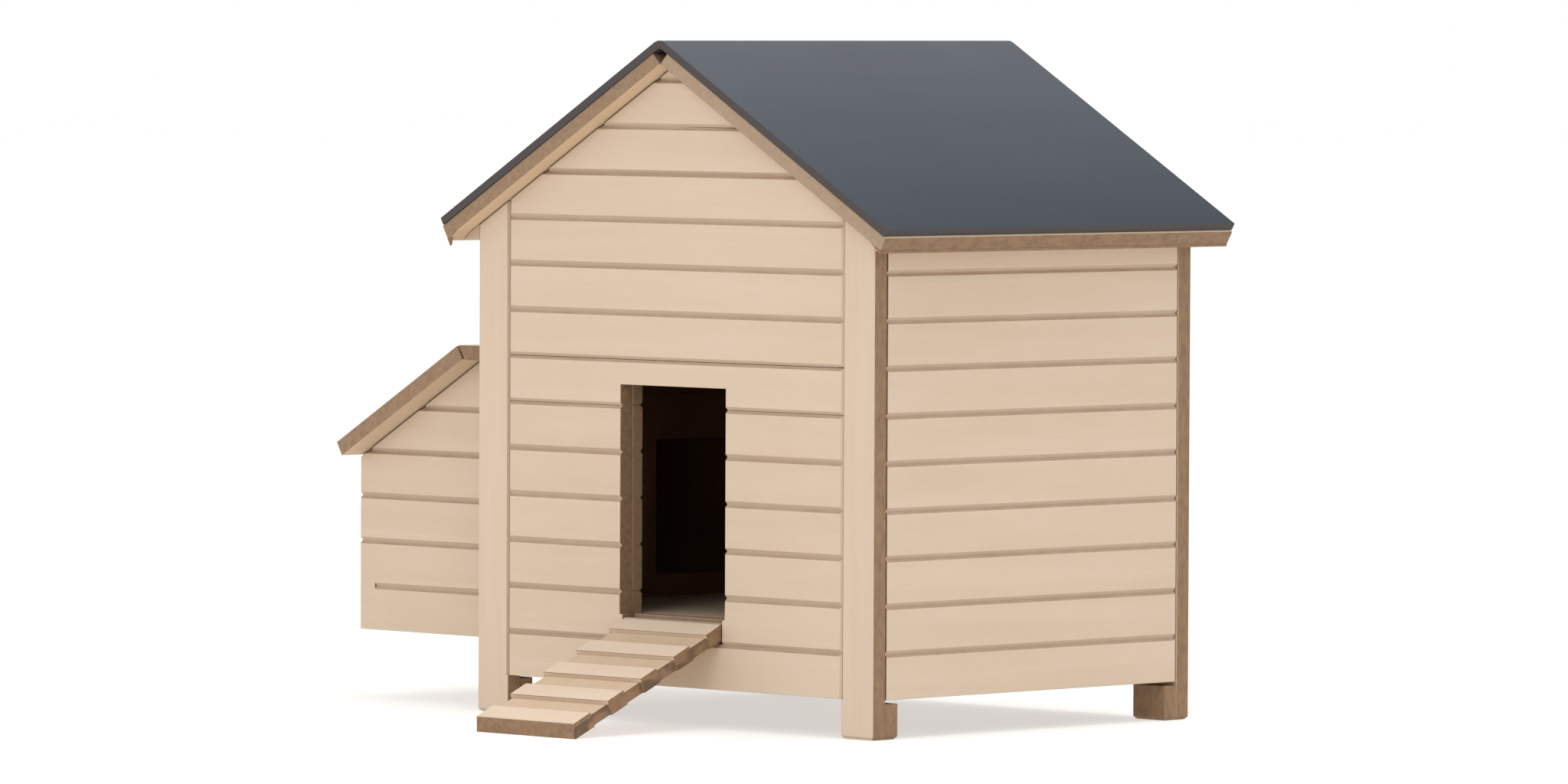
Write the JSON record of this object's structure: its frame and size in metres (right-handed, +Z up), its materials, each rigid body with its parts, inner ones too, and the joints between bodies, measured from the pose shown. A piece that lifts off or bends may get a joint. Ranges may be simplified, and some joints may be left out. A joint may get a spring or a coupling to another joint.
{
  "type": "chicken coop",
  "caption": "Small gabled wooden hen house on four legs, with a drawbridge ramp at the pop-hole, a nest box with a hinged lid on one side and a roof slope that opens.",
  "frame": {"origin": "bottom centre of the bounding box, on the ground", "axes": "+Z up; -Y is the front, where the pop-hole and ramp are; the nest box is on the -X side"},
  "size_m": [1.6094, 1.3162, 1.3176],
  "materials": {
    "wall_wood": "smooth planed softwood",
    "inner_wood": "planed softwood",
    "roof_felt": "mineral roofing felt on a stiff sheet",
    "zinc_steel": "zinc plated"
  },
  "bodies": {
    "house": {"front_left_post": "wall_wood", "front_right_post": "wall_wood", "rear_left_post": "wall_wood", "rear_right_post": "wall_wood", "front_left_foot": "wall_wood", "front_right_foot": "wall_wood", "rear_left_foot": "wall_wood", "rear_right_foot": "wall_wood", "front_wall_boards": "wall_wood", "door_head_board": "wall_wood", "rear_wall_boards": "wall_wood", "right_wall_boards": "wall_wood", "left_wall_boards": "wall_wood", "front_lining_boards": "inner_wood", "lining_sill_board": "inner_wood", "lining_head_board": "inner_wood", "front_left_corner_batten": "inner_wood", "front_right_corner_batten": "inner_wood", "rear_left_corner_batten": "inner_wood", "rear_right_corner_batten": "inner_wood", "left_wall_plate": "inner_wood", "right_wall_plate": "inner_wood", "ridge_beam": "inner_wood", "rear_gable_battens": "inner_wood", "floor_panel": "inner_wood", "floor_bearer_front": "inner_wood", "floor_bearer_middle": "inner_wood", "floor_bearer_rear": "inner_wood", "floor_screws": "zinc_steel", "perch_inner": "inner_wood", "perch_outer": "inner_wood", "perch_rests": "inner_wood", "left_roof_board": "wall_wood", "left_roof_cover": "roof_felt", "left_eave_drip": "wall_wood", "left_roof_battens": "inner_wood", "left_soffit": "wall_wood", "right_soffit": "wall_wood", "ramp_pins": "zinc_steel", "nest_front_boards": "wall_wood", "nest_rear_boards": "wall_wood", "nest_outer_boards": "wall_wood", "nest_floor": "inner_wood", "nest_floor_battens": "inner_wood", "nest_divider": "inner_wood", "nest_top_board": "wall_wood", "nest_hinge_fixed_leaves": "zinc_steel", "nest_hinge_pins": "zinc_steel", "nest_hinge_fixed_screws": "zinc_steel"},
    "ramp": {"ramp_plank": "wall_wood", "ramp_cleats": "wall_wood", "ramp_screws": "zinc_steel"},
    "nest_box_lid": {"nest_lid": "wall_wood", "nest_lid_battens": "inner_wood", "nest_hinge_lid_leaves": "zinc_steel", "nest_hinge_lid_screws": "zinc_steel"},
    "opening_roof": {"right_roof_board": "wall_wood", "right_roof_cover": "roof_felt", "right_eave_drip": "wall_wood", "right_roof_battens": "inner_wood"}
  },
  "joints": [
    {"name": "ramp_hinge", "type": "hinge", "parent": "house", "child": "ramp", "pos_m": [0.19366, -0.26195, 0.188], "axis": [-1, 0, 0], "range_deg": [0, 113.7]},
    {"name": "nest_lid_hinge", "type": "hinge", "parent": "house", "child": "nest_box_lid", "pos_m": [-0.45234, 0.16905, 0.713], "axis": [0, 1, 0], "range_deg": [0, 115]},
    {"name": "roof_hinge", "type": "hinge", "parent": "house", "child": "opening_roof", "pos_m": [0.19366, 0.16905, 1.3176], "axis": [0, -1, 0], "range_deg": [0, 105]}
  ]
}
